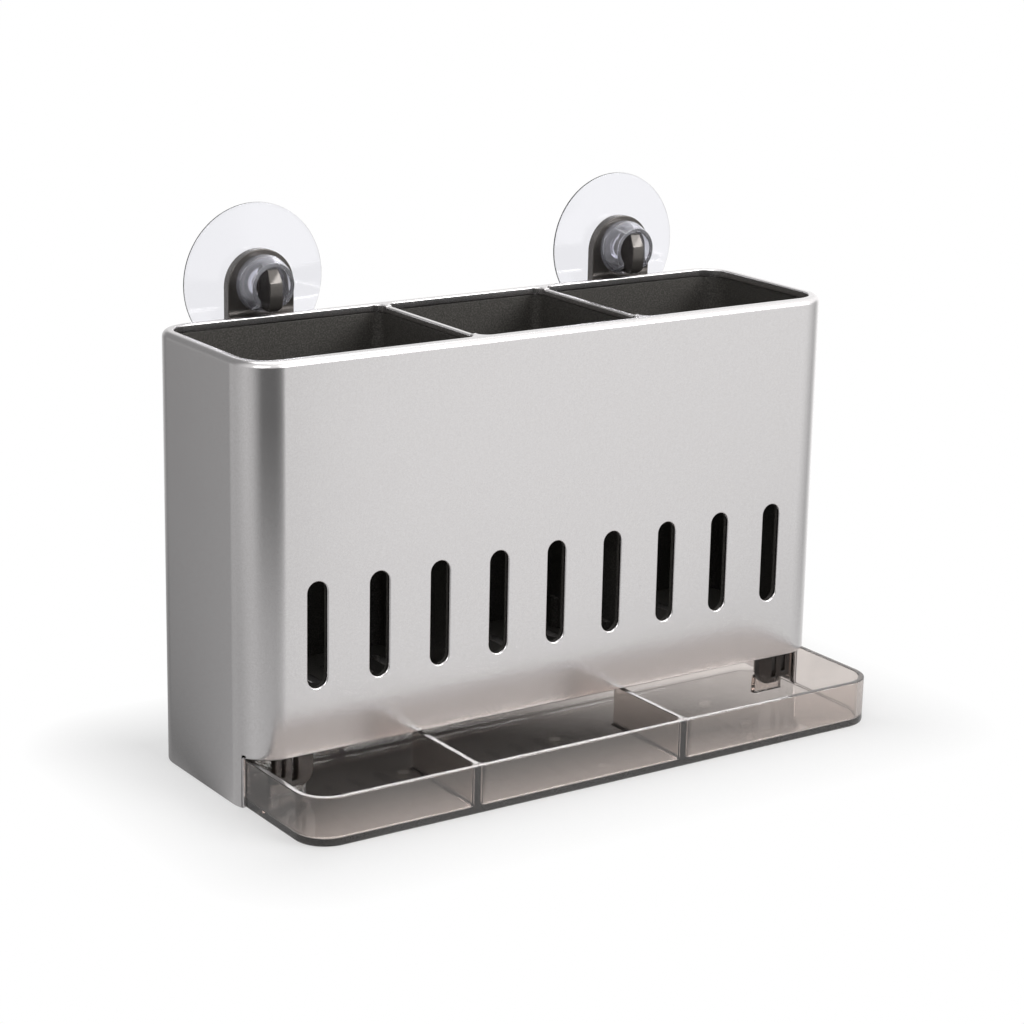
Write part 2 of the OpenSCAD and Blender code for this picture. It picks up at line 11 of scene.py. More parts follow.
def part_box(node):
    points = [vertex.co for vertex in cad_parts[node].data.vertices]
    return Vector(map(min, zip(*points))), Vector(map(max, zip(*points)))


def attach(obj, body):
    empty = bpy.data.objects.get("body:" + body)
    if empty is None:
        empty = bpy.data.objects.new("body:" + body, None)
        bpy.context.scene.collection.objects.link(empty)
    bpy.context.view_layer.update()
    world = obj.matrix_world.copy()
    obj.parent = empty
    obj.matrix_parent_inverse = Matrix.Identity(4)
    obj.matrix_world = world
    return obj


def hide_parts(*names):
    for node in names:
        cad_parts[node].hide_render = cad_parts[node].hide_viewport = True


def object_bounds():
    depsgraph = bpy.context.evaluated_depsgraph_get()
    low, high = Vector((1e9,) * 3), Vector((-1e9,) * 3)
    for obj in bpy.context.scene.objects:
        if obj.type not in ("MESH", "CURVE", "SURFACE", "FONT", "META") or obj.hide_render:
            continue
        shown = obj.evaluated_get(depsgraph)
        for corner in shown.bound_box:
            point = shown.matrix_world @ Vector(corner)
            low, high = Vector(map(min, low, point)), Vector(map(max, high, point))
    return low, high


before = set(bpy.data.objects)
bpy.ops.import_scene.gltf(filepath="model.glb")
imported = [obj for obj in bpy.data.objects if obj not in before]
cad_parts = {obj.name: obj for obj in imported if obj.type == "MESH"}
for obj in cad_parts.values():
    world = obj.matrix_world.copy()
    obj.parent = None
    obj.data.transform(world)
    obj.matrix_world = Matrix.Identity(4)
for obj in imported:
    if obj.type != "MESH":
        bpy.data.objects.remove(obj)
cad_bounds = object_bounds()

MM = 0.001
FRONT_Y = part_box("outer_shell")[0].y
BENCH = Matrix.Translation((0, FRONT_Y, 0)) @ Matrix.Scale(MM, 4)


# ---- sizes in millimetres: x to the right, y from the front panel to the wall, z up ----

# How far a cutting shape runs past what it cuts
CUT = 3.0
# What is left between two fillets that would otherwise meet
HAIR = 0.01
# Edges sharper than this are softened, in degrees
SHARP = 32

# Body. The air slots are cut SLOT_REACH deep, through shell and liner, and the catches that
# hold the drain floor reach from CATCH_ROOT to CATCH_TIP inside the front and back.
BODY_W, BODY_D, BODY_H = 250.0, 73.4, 158.0
CORNER_R = 14.0
SHELL_T = 1.6
RIM_W, RIM_H, RIM_ROUND = 4.2, 3.0, 2.4
DIVIDERS = (-32.0, 38.0)
DIVIDER_T, DIVIDER_R = 1.8, 4.0
BAR_W, BAR_DROP = 2.4, 0.5
SLOT_XS = [(i - 4) * 24.75 for i in range(9)]
SLOT_W, SLOT_LOW, SLOT_HIGH = 7.7, 42.0, 80.2
SLOT_REACH = 5.0
BAY_H, SKIRT_SET, SEAM_RISE = 18.4, 8.6, 2.0
CATCH_XS, CATCH_W, CATCH_H = (-60, 0, 60), 10.0, 2.2
CATCH_ROOT, CATCH_TIP = 1.2, 2.35
PAD_R, PAD_ZS = 6.0, (112.7, 145.7)

# Liner and drain floor
LINER_INSET, LINER_T, LINER_TOP = 1.7, 1.8, 154.9
LINER_SLOT_EASE = 0.6
BOSS_R, BOSS_H, BOSS_INSET = 3.0, 12.0, 20.0
FLOOR_Z, FLOOR_TOP = 24.0, 27.0

# Tray
TRAY_HALF, TRAY_R = 123.0, 12.0
TRAY_FRONT, TRAY_BACK = -38.1, 33.3
TRAY_LOW, TRAY_TOP = 0.2, 17.8
TRAY_WALL, TRAY_FLOOR = 2.2, 2.4
TRAY_UNDER_R, TRAY_INNER_R = 1.0, 1.0
TRAY_DIVIDERS, TRAY_DIVIDER_END, TRAY_DIVIDER_R = (-56.3, 32.6), 6.3, 2.5
# Hangers and lugs stand in the tray's floor. A hanger is a rib with a flange out to its side.
STAND_Z = 1.7
HANGER_YS = (14.0, 27.0)
RIB_XS, FLANGE_X = (115.9, 118.1), 121.7
FLANGE_Z, FLANGE_TOP = 19.9, 22.5
LUG_XS, LUG_YS = (100.0, 113.2), (6.3, 8.5)
LUG_TOP, LUG_R = 9.4, 1.5

# Cups and tabs
CUP_X, CUP_Z = 79.4, 169.0
WALL_Y, TAB_BACK, TAB_FRONT = 81.0, 78.3, 74.6
TAB_W, TAB_ARCH_Z, TAB_FOOT, TAB_FOOT_R = 26.6, 167.7, 100.7, 3.0
EYE_R = 5.1
TAB_SCREW_R, SINK_R, SINK_DEPTH = 1.55, 3.2, 1.8

# Locks
LOCK_BACK, COLLAR_L, COLLAR_FRONT = 74.3, 8.9, 65.4
COLLAR_R, COLLAR_FRONT_R, COLLAR_T = 10.4, 8.4, 1.6
COLLAR_STRAIGHT, COLLAR_BASE_T, COLLAR_GAP = 3.1, 1.3, 10.0
COLLAR_EYE_R = 4.1
LEVER_DOWN, LEVER_UP = 9.3, 6.6
LEVER_HALF, LEVER_TOP_HALF = 2.6, 2.1
FIN_BACK, FIN_FRONT = 72.9, 63.4
HUB_R, HUB_L = 4.0, 2.6
PIVOT_BORE_R, BEAD_BORE_R = 1.65, 1.9
BORE_FRONT, BEAD_BACK = 69.45, 70.65


# ---- modelling helpers ----

def block(x0, x1, y0, y1, z0, z1):
    bm = bmesh.new()
    bmesh.ops.create_cube(bm, size=1)
    bmesh.ops.scale(bm, vec=(x1 - x0, y1 - y0, z1 - z0), verts=bm.verts)
    bmesh.ops.translate(bm, vec=((x0 + x1) / 2, (y0 + y1) / 2, (z0 + z1) / 2), verts=bm.verts)
    return bm


def bevel(bm, edges, offset, segments):
    bmesh.ops.bevel(bm, geom=edges, offset=offset, offset_type="OFFSET", segments=segments,
                    profile=0.5, affect="EDGES", material=-1)


def half_round(bm, edges, width, segments):
    """Rounds the two edges of each bar that is width wide into one half round."""
    bevel(bm, edges, width / 2 - HAIR, segments)
    bmesh.ops.remove_doubles(bm, verts=bm.verts, dist=3 * HAIR)


def upright_edges(bm, places):
    """Edges that stand at one of the places (x, y)."""
    return [e for x, y in places for e in bm.edges
            if all(abs(v.co.x - x) < 0.01 and abs(v.co.y - y) < 0.01 for v in e.verts)]


def level_edges(bm, z):
    return [e for e in bm.edges if all(abs(v.co.z - z) < 0.001 for v in e.verts)]


def deep_edges(bm, *heights):
    """Level edges that run straight back, at one of the heights."""
    return [e for z in heights for e in level_edges(bm, z)
            if abs(e.verts[0].co.x - e.verts[1].co.x) < 0.01]


def rounded_block(x0, x1, y0, y1, z0, z1, radii, segments):
    """A block whose upright corners are rounded, by four radii in the order front left,
    front right, back right, back left."""
    bm = block(x0, x1, y0, y1, z0, z1)
    corners = ((x0, y0), (x1, y0), (x1, y1), (x0, y1))
    for radius in sorted(set(radii)):
        places = [corner for corner, r in zip(corners, radii) if r == radius]
        bevel(bm, upright_edges(bm, places), radius, segments)
    return bm


def joined(*parts):
    """One bmesh out of several that don't touch."""
    bm = bmesh.new()
    for part in parts:
        mesh = bpy.data.meshes.new("part")
        part.to_mesh(mesh)
        part.free()
        bm.from_mesh(mesh)
        bpy.data.meshes.remove(mesh)
    return bm


def linked_object(bm, name):
    """Uses up a bmesh for a new object in the scene."""
    mesh = bpy.data.meshes.new(name)
    bm.to_mesh(mesh)
    bm.free()
    obj = bpy.data.objects.new(name, mesh)
    bpy.context.scene.collection.objects.link(obj)
    return obj


def carve(bm, tool, operation="DIFFERENCE"):
    """The solid bm with the solid tool cut out of it, added to it or kept in common."""
    body = linked_object(bm, "bench")
    cutter = linked_object(tool, "bench")
    boolean = body.modifiers.new("carve", "BOOLEAN")
    boolean.operation = operation
    boolean.solver = "EXACT"
    boolean.object = cutter
    result = bmesh.new()
    result.from_object(body, bpy.context.evaluated_depsgraph_get())
    for obj in (body, cutter):
        mesh = obj.data
        bpy.data.objects.remove(obj)
        bpy.data.meshes.remove(mesh)
    bmesh.ops.remove_doubles(result, verts=result.verts, dist=0.002)
    bmesh.ops.dissolve_degenerate(result, edges=result.edges, dist=0.002)
    return result


def upright_rod(r, z0, z1, x, y, segments, r_end=None):
    """A round bar along z; r_end makes it a cone."""
    bm = bmesh.new()
    bmesh.ops.create_cone(bm, cap_ends=True, segments=segments, radius1=r,
                          radius2=r if r_end is None else r_end, depth=z1 - z0)
    bmesh.ops.translate(bm, vec=(x, y, (z0 + z1) / 2), verts=bm.verts)
    return bm


def rod(r, y0, y1, x, z, segments, r_end=None):
    """A round bar along y; r_end makes it a cone."""
    bm = upright_rod(r, y0, y1, 0, 0, segments, r_end)
    bmesh.ops.rotate(bm, matrix=Matrix.Rotation(math.radians(-90), 3, "X"), verts=bm.verts)
    bmesh.ops.translate(bm, vec=(x, 0, z), verts=bm.verts)
    return bm


def stadium(x, z0, z1, width, y0, y1):
    """A bar along y with the outline of an upright slot with round ends."""
    bm = block(x - width / 2, x + width / 2, y0, y1, z0, z1)
    half_round(bm, deep_edges(bm, z0, z1), width, segments=12)
    return bm


def pushed(points, way):
    """A straight bar: the flat outline through the points, pushed along way."""
    bm = bmesh.new()
    face = bm.faces.new([bm.verts.new(point) for point in points])
    grown = bmesh.ops.extrude_face_region(bm, geom=[face])
    bmesh.ops.translate(bm, vec=way,
                        verts=[v for v in grown["geom"] if isinstance(v, bmesh.types.BMVert)])
    bmesh.ops.recalc_face_normals(bm, faces=bm.faces)
    return bm


def turned(points, x, y, segments):
    """A round solid about a cup's axis. Its profile of (radius, distance from y towards the
    room) starts and ends on the axis."""
    bm = bmesh.new()
    verts = [bm.verts.new((r, 0, z)) for r, z in points]
    edges = [bm.edges.new(pair) for pair in zip(verts, verts[1:])]
    bmesh.ops.spin(bm, geom=verts + edges, cent=(0, 0, 0), axis=(0, 0, 1),
                   angle=math.tau, steps=segments, use_merge=True)
    bmesh.ops.remove_doubles(bm, verts=bm.verts, dist=0.0005)
    bmesh.ops.recalc_face_normals(bm, faces=bm.faces)
    bmesh.ops.rotate(bm, matrix=Matrix.Rotation(math.radians(90), 3, "X"), verts=bm.verts)
    bmesh.ops.translate(bm, vec=(x, y, CUP_Z), verts=bm.verts)
    return bm


def copy_of(node):
    """A merged copy of a CAD node's mesh on the bench, flat faces made whole."""
    bm = bmesh.new()
    bm.from_mesh(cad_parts[node].data)
    bm.transform(BENCH.inverted())
    bmesh.ops.remove_doubles(bm, verts=bm.verts, dist=0.002)
    bmesh.ops.dissolve_limit(bm, angle_limit=math.radians(0.6), verts=bm.verts, edges=bm.edges)
    return bm


def finished(bm, node, finish, body="root", edge=0.25, segments=2):
    """Puts a bench mesh into the frame as the piece that stands for a CAD node. Its edges
    are softened by edge millimetres."""
    word, material, slot = finish
    bm.transform(BENCH)
    bmesh.ops.recalc_face_normals(bm, faces=bm.faces)
    for face in bm.faces:
        face.smooth = True
    obj = linked_object(bm, node + "_" + word)
    obj.data.materials.append(material)
    if edge:
        soft = obj.modifiers.new("soft edges", "BEVEL")
        soft.width = edge * MM
        soft.segments = segments
        soft.limit_method = "ANGLE"
        soft.angle_limit = math.radians(SHARP)
        soft.use_clamp_overlap = False
        soft.miter_outer = "MITER_ARC"
    shading = obj.modifiers.new("flat faces", "WEIGHTED_NORMAL")
    shading.keep_sharp = True
    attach(obj, body)
    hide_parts(node)


# ---- materials ----

def linear(hex_colour):
    """Linear RGBA of an sRGB hex colour."""
    values = [int(hex_colour[i:i + 2], 16) / 255 for i in (1, 3, 5)]
    return [v / 12.92 if v <= 0.04045 else ((v + 0.055) / 1.055) ** 2.4 for v in values] + [1.0]


def add(tree, kind, inputs=None, **settings):
    """Adds a node; inputs maps socket names or numbers to values or to other sockets."""
    made = tree.nodes.new(kind)
    for name, value in settings.items():
        setattr(made, name, value)
    for name, value in (inputs or {}).items():
        if isinstance(value, bpy.types.NodeSocket):
            tree.links.new(value, made.inputs[name])
        else:
            made.inputs[name].default_value = value
    return made


def new_material(name):
    """A material, its empty node tree, and the Object coordinates in it."""
    material = bpy.data.materials.new(name)
    material.use_nodes = True
    tree = material.node_tree
    tree.nodes.clear()
    return material, tree, add(tree, "ShaderNodeTexCoord").outputs["Object"]


def silver_lacquer():
    """Metallic lacquer sprayed on moulded ABS: a satin aluminium look whose flakes sparkle a
    little and whose film lies in very low waves."""
    material, tree, place = new_material("silver_lacquer_on_abs")
    # flakes of about 0.3 mm, drawn coarser than the real 0.03 mm so that they show
    flakes = add(tree, "ShaderNodeTexVoronoi", {"Vector": place, "Scale": 3300.0})
    # waves of the lacquer film, about 3 mm apart
    waves = add(tree, "ShaderNodeTexNoise", {"Vector": place, "Scale": 330.0, "Detail": 2.0})
    # cloudy unevenness of the spray coat, about 25 mm apart
    clouds = add(tree, "ShaderNodeTexNoise", {"Vector": place, "Scale": 40.0, "Detail": 2.0})
    tone = add(tree, "ShaderNodeMix", {0: flakes.outputs["Color"], 6: linear("#d6d3d3"),
                                       7: linear("#e0dede")}, data_type="RGBA")
    rough = add(tree, "ShaderNodeMapRange", {0: clouds.outputs["Fac"], 3: 0.22, 4: 0.27})
    film = add(tree, "ShaderNodeBump", {"Height": waves.outputs["Fac"], "Strength": 0.25,
                                        "Distance": 0.00002})
    grain = add(tree, "ShaderNodeBump", {"Height": flakes.outputs["Distance"], "Strength": 0.2,
                                         "Distance": 0.00001, "Normal": film.outputs["Normal"]})
    paint = add(tree, "ShaderNodeBsdfPrincipled",
                {"Base Color": tone.outputs[2], "Metallic": 1.0,
                 "Roughness": rough.outputs[0], "Normal": grain.outputs["Normal"]})
    add(tree, "ShaderNodeOutputMaterial", {"Surface": paint.outputs["BSDF"]})
    return material


def speckled_plastic(name, dark, light, roughness):
    """ABS moulded with fine metal powder in it: a matt skin with tiny light points."""
    material, tree, place = new_material(name)
    # powder grains, drawn about 0.5 mm apart so that they show
    grains = add(tree, "ShaderNodeTexNoise", {"Vector": place, "Scale": 2000.0, "Detail": 2.0,
                                              "Roughness": 0.7})
    points = add(tree, "ShaderNodeMapRange", {0: grains.outputs["Fac"], 1: 0.42, 2: 0.72})
    tone = add(tree, "ShaderNodeMix", {0: points.outputs[0], 6: linear(dark),
                                       7: linear(light)}, data_type="RGBA")
    skin = add(tree, "ShaderNodeBump", {"Height": grains.outputs["Fac"], "Strength": 0.3,
                                        "Distance": 0.00003})
    plastic = add(tree, "ShaderNodeBsdfPrincipled",
                  {"Base Color": tone.outputs[2], "Roughness": roughness, "IOR": 1.53,
                   "Metallic": 0.25, "Normal": skin.outputs["Normal"]})
    add(tree, "ShaderNodeOutputMaterial", {"Surface": plastic.outputs["BSDF"]})
    return material


def grey_lacquer():
    """Dark metallic lacquer sprayed on moulded ABS, glossier than the body."""
    material, tree, place = new_material("grey_lacquer_on_abs")
    # flakes drawn 0.25 mm apart so that they show
    flakes = add(tree, "ShaderNodeTexVoronoi", {"Vector": place, "Scale": 4000.0})
    tone = add(tree, "ShaderNodeMix", {0: flakes.outputs["Color"], 6: linear("#4e4b48"),
                                       7: linear("#615d5a")}, data_type="RGBA")
    grain = add(tree, "ShaderNodeBump", {"Height": flakes.outputs["Distance"], "Strength": 0.2,
                                         "Distance": 0.00001})
    paint = add(tree, "ShaderNodeBsdfPrincipled",
                {"Base Color": tone.outputs[2], "Metallic": 0.6, "Roughness": 0.22,
                 "Normal": grain.outputs["Normal"]})
    add(tree, "ShaderNodeOutputMaterial", {"Surface": paint.outputs["BSDF"]})
    return material


def dark_plastic():
    """Black-brown moulded ABS, polished: a deep tone with sharp highlights."""
    material, tree, place = new_material("dark_moulded_abs")
    # tool texture, about 0.8 mm apart
    skin = add(tree, "ShaderNodeTexNoise", {"Vector": place, "Scale": 1250.0, "Detail": 2.0})
    rough = add(tree, "ShaderNodeMapRange", {0: skin.outputs["Fac"], 3: 0.12, 4: 0.2})
    bump = add(tree, "ShaderNodeBump", {"Height": skin.outputs["Fac"], "Strength": 0.2,
                                        "Distance": 0.00002})
    plastic = add(tree, "ShaderNodeBsdfPrincipled",
                  {"Base Color": linear("#241e1b"), "Roughness": rough.outputs[0], "IOR": 1.53,
                   "Normal": bump.outputs["Normal"]})
    add(tree, "ShaderNodeOutputMaterial", {"Surface": plastic.outputs["BSDF"]})
    return material


def clear_plastic(name, tint, ior, clear, absorb, density, roughness, wave_scale, wave_depth):
    """Clear or smoked polished plastic. What isn't clear is a milky haze, the absorbed colour
    builds up along the way through it, and the moulded surface lies in low waves that bend
    what is seen through it."""
    material, tree, place = new_material(name)
    waves = add(tree, "ShaderNodeTexNoise", {"Vector": place, "Scale": wave_scale, "Detail": 1.0})
    bump = add(tree, "ShaderNodeBump", {"Height": waves.outputs["Fac"], "Strength": 0.2,
                                        "Distance": wave_depth})
    plastic = add(tree, "ShaderNodeBsdfPrincipled",
                  {"Base Color": linear(tint), "Roughness": roughness, "IOR": ior,
                   "Transmission Weight": clear, "Normal": bump.outputs["Normal"]})
    depth = add(tree, "ShaderNodeVolumeAbsorption", {"Color": linear(absorb), "Density": density})
    add(tree, "ShaderNodeOutputMaterial", {"Surface": plastic.outputs["BSDF"],
                                           "Volume": depth.outputs["Volume"]})
    return material


def screw_steel():
    """Zinc-plated steel, turned and tumbled: bright, with faint scuffs."""
    material, tree, place = new_material("zinc_plated_steel")
    # scuffs about 0.7 mm apart
    scuffs = add(tree, "ShaderNodeTexNoise", {"Vector": place, "Scale": 1500.0, "Detail": 3.0})
    rough = add(tree, "ShaderNodeMapRange", {0: scuffs.outputs["Fac"], 3: 0.2, 4: 0.42})
    metal = add(tree, "ShaderNodeBsdfPrincipled",
                {"Base Color": linear("#c4c3c0"), "Metallic": 1.0, "Roughness": rough.outputs[0]})
    add(tree, "ShaderNodeOutputMaterial", {"Surface": metal.outputs["BSDF"]})
    return material


# Each finish: the word that ends a piece's name, its material and its slot in the record
SILVER = ("silver", silver_lacquer(), "silver_lacquer")
LINER = ("dark", speckled_plastic("speckled_liner_abs", "#403e3b", "#6f6c68", 0.42),
         "dark_speckle")
FLOOR = ("dark", speckled_plastic("speckled_floor_abs", "#302e2b", "#605d5a", 0.5),
         "dark_speckle")
GREY = ("grey", grey_lacquer(), "grey_lacquer")
DARK = ("dark", dark_plastic(), "dark_plastic")
# brown-grey that deepens along the walls' edges, glossy, with waves about 17 mm apart
SMOKE = ("smoked", clear_plastic("smoked_san", "#f2ece8", ior=1.56, clear=0.96,
                                 absorb="#a5948b", density=120.0, roughness=0.01,
                                 wave_scale=60.0, wave_depth=0.00001), "smoky_acrylic")
# all but colourless and a little soft in its gloss, with waves about 11 mm apart
VINYL = ("vinyl", clear_plastic("clear_soft_vinyl", "#f3f3f7", ior=1.52, clear=1.0,
                                absorb="#d9d9e6", density=15.0, roughness=0.08,
                                wave_scale=90.0, wave_depth=0.00003), "clear_vinyl")
# clear with bright streaks and a slight milkiness, with waves about 7 mm apart
CLEAR = ("clear", clear_plastic("clear_hard_acrylic", "#f0f0f6", ior=1.49, clear=0.9,
                                absorb="#e2e2ea", density=15.0, roughness=0.02,
                                wave_scale=150.0, wave_depth=0.00002), "clear_hard")
STEEL = ("steel", screw_steel(), "screw_steel")


# ---- outer shell and liner ----

def body_block(inset, z0, z1):
    """Upright block with the body's outline, inset on all sides."""
    return rounded_block(-BODY_W / 2 + inset, BODY_W / 2 - inset, inset, BODY_D - inset, z0, z1,
                         radii=(CORNER_R - inset,) * 4, segments=20)


def compartments(inset, half_divider, z0, z1):
    """Upright blocks of the three compartments, inset from the body's outside."""
    blocks = []
    for i in range(3):
        x0 = -BODY_W / 2 + inset if i == 0 else DIVIDERS[i - 1] + half_divider
        x1 = BODY_W / 2 - inset if i == 2 else DIVIDERS[i] - half_divider
        left = CORNER_R - inset if i == 0 else DIVIDER_R
        right = CORNER_R - inset if i == 2 else DIVIDER_R
        blocks.append(rounded_block(x0, x1, inset, BODY_D - inset, z0, z1,
                                    radii=(left, right, right, left), segments=12))
    return joined(*blocks)


def slots(ease):
    """The air slots' cutters, larger by ease all round."""
    return joined(*[stadium(x, SLOT_LOW - ease, SLOT_HIGH + ease, SLOT_W + 2 * ease,
                            -CUT, SLOT_REACH) for x in SLOT_XS])


def outer_shell():
    bm = body_block(0, 0, BODY_H)
    bevel(bm, level_edges(bm, BODY_H), RIM_ROUND, segments=6)
    bm = carve(bm, body_block(SHELL_T, -CUT, BODY_H - RIM_H))
    bm = carve(bm, compartments(RIM_W, BAR_W / 2, BODY_H - RIM_H - CUT, BODY_H + CUT))
    # the divider bars lie a little lower than the rim
    inner = RIM_W + DIVIDER_R
    bm = carve(bm, joined(*[block(x - BAR_W, x + BAR_W, inner, BODY_D - inner,
                                  BODY_H - BAR_DROP, BODY_H + CUT) for x in DIVIDERS]))
    bm = carve(bm, block(-BODY_W, BODY_W, -CUT, SKIRT_SET, -CUT, BAY_H))
    # a seam above the bay, so that the upright corners shade evenly down to it
    bmesh.ops.bisect_plane(bm, geom=bm.verts[:] + bm.edges[:] + bm.faces[:], dist=0.001,
                           plane_co=(0, 0, BAY_H + SEAM_RISE), plane_no=(0, 0, 1))
    bm = carve(bm, slots(0))
    pads = joined(*[rod(PAD_R, BODY_D - SHELL_T / 2, TAB_FRONT, x, z, segments=40)
                    for x in (-CUP_X, CUP_X) for z in PAD_ZS])
    bm = carve(bm, pads, "UNION")
    catches = joined(*[block(x - CATCH_W / 2, x + CATCH_W / 2, y0, y1, FLOOR_Z - CATCH_H, FLOOR_Z)
                       for x in CATCH_XS
                       for y0, y1 in ((CATCH_ROOT, CATCH_TIP),
                                      (BODY_D - CATCH_TIP, BODY_D - CATCH_ROOT))])
    bm = carve(bm, catches, "UNION")
    finished(bm, "outer_shell", SILVER, edge=0.55, segments=3)


def inner_liner():
    bm = body_block(LINER_INSET, FLOOR_TOP, LINER_TOP)
    bm = carve(bm, compartments(LINER_INSET + LINER_T, DIVIDER_T / 2, FLOOR_TOP - CUT,
                                LINER_TOP + CUT))
    bosses = joined(*[upright_rod(BOSS_R, FLOOR_TOP, FLOOR_TOP + BOSS_H, x, y, segments=32)
                      for x in DIVIDERS for y in (BOSS_INSET, BODY_D - BOSS_INSET)])
    bm = carve(bm, bosses, "UNION")
    bm = carve(bm, slots(LINER_SLOT_EASE))
    finished(bm, "inner_liner", LINER)


# ---- drip tray ----

def tray_hollow():
    """The tray's inside: three pockets in front of one open space."""
    w = TRAY_WALL
    half = TRAY_HALF - w
    front, back = TRAY_FRONT + w, TRAY_BACK - w
    feet, ends, notches = [], [], []
    for x in TRAY_DIVIDERS:
        left, right = x - w / 2, x + w / 2
        feet += [(left, front), (right, front)]
        ends += [(left, TRAY_DIVIDER_END), (right, TRAY_DIVIDER_END)]
        notches += [(left, front), (left, TRAY_DIVIDER_END), (right, TRAY_DIVIDER_END),
                    (right, front)]
    corners = [(-half, front), (half, front), (half, back), (-half, back)]
    outline = corners[:1] + notches + corners[1:]
    bm = pushed([(x, y, TRAY_FLOOR) for x, y in outline], (0, 0, TRAY_TOP + CUT - TRAY_FLOOR))
    half_round(bm, upright_edges(bm, ends), w, segments=6)
    bevel(bm, upright_edges(bm, feet), TRAY_DIVIDER_R, segments=8)
    bevel(bm, upright_edges(bm, corners), TRAY_R - w, segments=14)
    bevel(bm, level_edges(bm, TRAY_FLOOR), TRAY_INNER_R, segments=4)
    return bm


def drip_tray():
    bm = rounded_block(-TRAY_HALF, TRAY_HALF, TRAY_FRONT, TRAY_BACK, TRAY_LOW, TRAY_TOP,
                       radii=(TRAY_R,) * 4, segments=14)
    bevel(bm, level_edges(bm, TRAY_LOW), TRAY_UNDER_R, segments=3)
    bm = carve(bm, tray_hollow())
    for side in (-1, 1):
        hanger = carve(block(*RIB_XS, *HANGER_YS, STAND_Z, FLANGE_TOP),
                       block(RIB_XS[0], FLANGE_X, *HANGER_YS, FLANGE_Z, FLANGE_TOP), "UNION")
        lug = block(*LUG_XS, *LUG_YS, STAND_Z, LUG_TOP)
        bevel(lug, deep_edges(lug, LUG_TOP), LUG_R, segments=5)
        both = joined(hanger, lug)
        if side < 0:
            bmesh.ops.scale(both, vec=(-1, 1, 1), verts=both.verts)
            bmesh.ops.recalc_face_normals(both, faces=both.faces)
        bm = carve(bm, both, "UNION")
    # the floor round the hangers and lugs, cut up so that no face has a hole in it
    bmesh.ops.triangulate(bm, faces=[face for face in bm.faces if len(face.verts) > 8])
    finished(bm, "drip_tray", SMOKE, body="tray", edge=0.35, segments=3)


# ---- suction cups, tabs and locks ----

def suction_cup(x, node):
    # radius and distance from the wall: the dish curves from its seat to the thin edge
    inside = [(0, 1.3), (9, 1.3), (13, 1.1), (18, 0.72), (23, 0.28), (26.6, 0.0)]
    edge = [(27.7, 0.0), (28.0, 0.25), (28.0, 0.6), (27.75, 0.82)]
    outside = [(23, 1.28), (18, 1.75), (13, 2.2), (9, 2.5)]
    neck = [(5.0, 2.5), (5.0, 6.4), (1.6, 6.4)]
    pivot = [(1.6, 10.4), (1.85, 10.55), (1.85, 11.2), (1.65, 11.4), (0, 11.4)]
    bm = turned(inside + edge + outside + neck + pivot, x, WALL_Y, segments=96)
    finished(bm, node, VINYL, edge=0)


def hanger_tab(x, node):
    top = TAB_ARCH_Z + TAB_W / 2
    bm = block(x - TAB_W / 2, x + TAB_W / 2, TAB_FRONT, TAB_BACK, TAB_FOOT, top)
    bevel(bm, deep_edges(bm, TAB_FOOT), TAB_FOOT_R, segments=8)
    half_round(bm, deep_edges(bm, top), TAB_W, segments=28)
    eye = rod(EYE_R, TAB_FRONT - CUT, TAB_BACK + CUT, x, CUP_Z, segments=56)
    # the screw holes reach a little into the cones that sink the heads
    sink = TAB_BACK - SINK_DEPTH
    holes = [rod(TAB_SCREW_R, TAB_FRONT - CUT, sink + 0.05, x, z, segments=32) for z in PAD_ZS]
    bm = carve(bm, joined(eye, *holes))
    bm = carve(bm, joined(*[rod(TAB_SCREW_R, sink, TAB_BACK, x, z, segments=32, r_end=SINK_R)
                            for z in PAD_ZS]))
    finished(bm, node, GREY, edge=0.35, segments=3)


def lock_collar(x, node, body):
    """A straight base and a cone to the front, hollow and open at the bottom."""
    bm = turned([(0, 0), (COLLAR_R, 0), (COLLAR_R, COLLAR_STRAIGHT), (COLLAR_FRONT_R, COLLAR_L),
                 (0, COLLAR_L)], x, LOCK_BACK, segments=72)
    inner, inner_front = COLLAR_R - COLLAR_T, COLLAR_FRONT_R - COLLAR_T
    bore = turned([(0, COLLAR_BASE_T), (inner, COLLAR_BASE_T), (inner, COLLAR_STRAIGHT),
                   (inner_front, COLLAR_L), (inner_front, COLLAR_L + CUT), (0, COLLAR_L + CUT)],
                  x, LOCK_BACK, segments=72)
    bm = carve(bm, bore)
    bm = carve(bm, rod(COLLAR_EYE_R, LOCK_BACK - CUT, LOCK_BACK + CUT, x, CUP_Z, segments=48))
    bm = carve(bm, block(x - COLLAR_GAP / 2, x + COLLAR_GAP / 2, COLLAR_FRONT - CUT,
                         LOCK_BACK - COLLAR_BASE_T, CUP_Z - COLLAR_R - CUT, CUP_Z))
    finished(bm, node, CLEAR, body=body, edge=0.35, segments=3)


